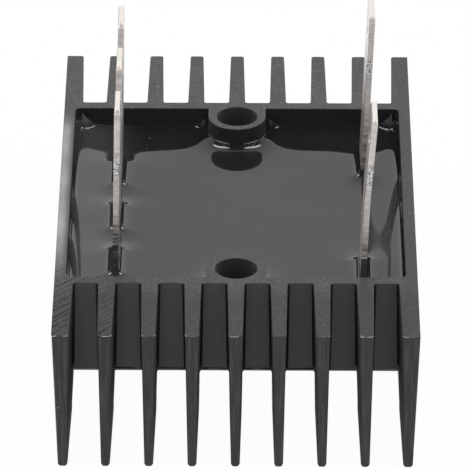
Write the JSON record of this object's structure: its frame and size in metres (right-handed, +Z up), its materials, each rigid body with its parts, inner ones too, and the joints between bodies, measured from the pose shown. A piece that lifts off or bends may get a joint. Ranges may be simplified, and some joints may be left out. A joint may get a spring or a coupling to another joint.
{
  "type": "three-phase bridge rectifier",
  "caption": "Potted three-phase bridge rectifier in a finned die-cast heat-sink case with upright blade terminals and through holes at both ends.",
  "frame": {"origin": "centre of the base, on the plane the fins stand on", "axes": "+Y along the fins, the longest side; +X across the fins, from the alternating-current blades to the direct-current blades; +Z up along the blades"},
  "size_m": [0.0476, 0.08, 0.0407],
  "materials": {
    "cast_aluminium": "die-cast, stained black, satin; rim milled flat",
    "potting_resin": "cast black epoxy, self-levelled gloss",
    "ceramic": "fired white alumina",
    "copper": "rolled copper",
    "silicon": "lapped and metallised",
    "tinned_blade": "hot-tinned, sheared edges"
  },
  "bodies": {
    "root": {"housing": "cast_aluminium", "potting_resin": "potting_resin", "ceramic_plate": "ceramic", "ac_pad_1": "copper", "ac_pad_2": "copper", "ac_pad_3": "copper", "positive_bus": "copper", "negative_bus": "copper", "positive_diode_1": "silicon", "positive_diode_2": "silicon", "positive_diode_3": "silicon", "negative_diode_1": "silicon", "negative_diode_2": "silicon", "negative_diode_3": "silicon", "ac_strap_1": "copper", "ac_strap_2": "copper", "ac_strap_3": "copper", "ac_terminal_1": "tinned_blade", "ac_terminal_2": "tinned_blade", "ac_terminal_3": "tinned_blade", "positive_terminal": "tinned_blade", "negative_terminal": "tinned_blade"}
  },
  "joints": []
}
